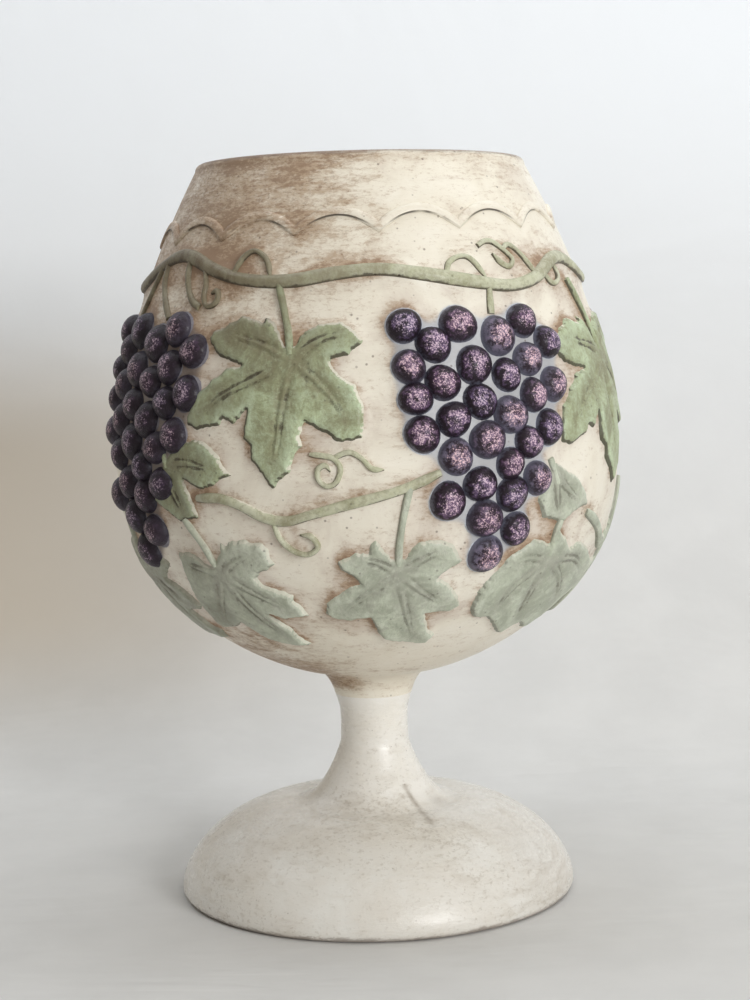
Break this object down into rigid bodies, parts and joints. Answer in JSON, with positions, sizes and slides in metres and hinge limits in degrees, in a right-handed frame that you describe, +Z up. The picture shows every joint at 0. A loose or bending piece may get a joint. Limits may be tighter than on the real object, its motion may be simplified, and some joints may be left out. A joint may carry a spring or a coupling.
{
  "type": "pottery goblet",
  "caption": "Footed pottery goblet with a round bowl, a short stem, a domed hollow foot and a grape vine in relief round the bowl; holds drinks, flowers or trinkets.",
  "frame": {"origin": "on the table under the middle of the foot", "axes": "+Z up along the pot's axis of turning; the side seen in the picture faces -Y, +X to its right"},
  "size_m": [0.1666, 0.1688, 0.24],
  "materials": {
    "cream_glaze": "satin, antiqued with brown wash",
    "sage_paint": "matt sage green, dark in the recesses",
    "pale_sage_paint": "matt pale sage green",
    "grape_paint": "dark purple with mauve pearl brushing"
  },
  "bodies": {
    "root": {"bowl": "cream_glaze", "stem": "cream_glaze", "foot": "cream_glaze", "scallop_bead": "cream_glaze", "upper_vine": "sage_paint", "grape_bunch_right_front": "grape_paint", "grape_bunch_left_front": "grape_paint", "vine_leaf_middle_front": "sage_paint", "vine_leaf_right_front": "sage_paint", "small_leaf_left_front": "sage_paint", "lower_vine_front": "sage_paint", "curled_tendril_front": "sage_paint", "small_leaf_right_front": "pale_sage_paint", "low_leaf_right_front": "pale_sage_paint", "low_leaf_middle_front": "pale_sage_paint", "low_leaf_left_front": "pale_sage_paint", "low_leaf_far_right_front": "pale_sage_paint", "low_leaf_far_left_front": "pale_sage_paint", "lower_vine_right_front": "pale_sage_paint", "grape_bunch_right_back": "grape_paint", "grape_bunch_left_back": "grape_paint", "vine_leaf_middle_back": "sage_paint", "vine_leaf_right_back": "sage_paint", "small_leaf_left_back": "sage_paint", "lower_vine_back": "sage_paint", "curled_tendril_back": "sage_paint", "small_leaf_right_back": "pale_sage_paint", "low_leaf_right_back": "pale_sage_paint", "low_leaf_middle_back": "pale_sage_paint", "low_leaf_left_back": "pale_sage_paint", "low_leaf_far_right_back": "pale_sage_paint", "low_leaf_far_left_back": "pale_sage_paint", "lower_vine_right_back": "pale_sage_paint"}
  },
  "joints": []
}
